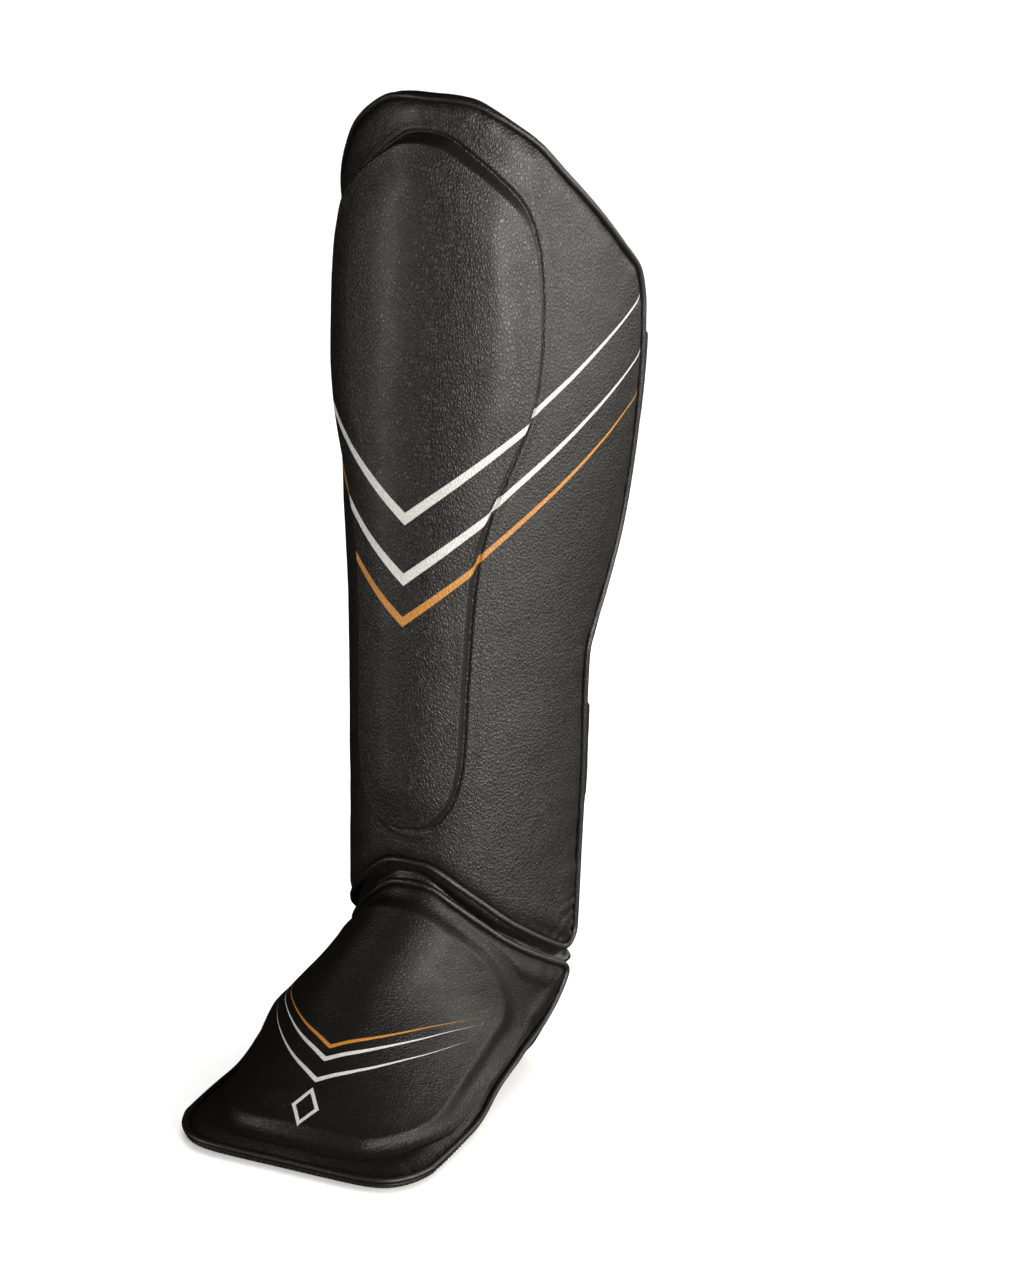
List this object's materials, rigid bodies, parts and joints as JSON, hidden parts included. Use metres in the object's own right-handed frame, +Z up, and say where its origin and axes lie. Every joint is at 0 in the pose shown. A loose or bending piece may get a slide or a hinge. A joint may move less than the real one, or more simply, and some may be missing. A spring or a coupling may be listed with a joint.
{
  "type": "muay thai shin guard",
  "caption": "Padded leather shin and instep guard for kickboxing, standing upright, with a raised shin bar and straps that close round the calf.",
  "frame": {"origin": "on the floor, below the middle of the guard's bounding box", "axes": "+Z up the shin, -Y the way the shin and the toe edge face, +X the wearer's left, which is on the viewer's right from the front"},
  "size_m": [0.1662, 0.2504, 0.501],
  "materials": {
    "shell_leather": "fine pebbled grain, satin",
    "trim_leather": "smooth, satin",
    "lining_fabric": "brushed, matt",
    "elastic_webbing": "ribbed weave, matt",
    "badge_gel": "clear gloss over black"
  },
  "bodies": {
    "root": {"shin_shell": "shell_leather", "raised_shin_bar": "shell_leather", "instep_pad": "shell_leather", "raised_instep_pad": "shell_leather", "ankle_gusset": "trim_leather", "shell_lining": "lining_fabric", "instep_lining": "lining_fabric", "shell_piping": "trim_leather", "instep_piping": "trim_leather", "upper_left_tab": "trim_leather", "upper_right_tab": "trim_leather", "upper_flap": "trim_leather", "upper_strap": "trim_leather", "lower_left_tab": "trim_leather", "lower_right_tab": "trim_leather", "lower_flap": "trim_leather", "lower_strap": "trim_leather", "strap_badge": "badge_gel", "underfoot_elastic": "elastic_webbing"}
  },
  "joints": []
}
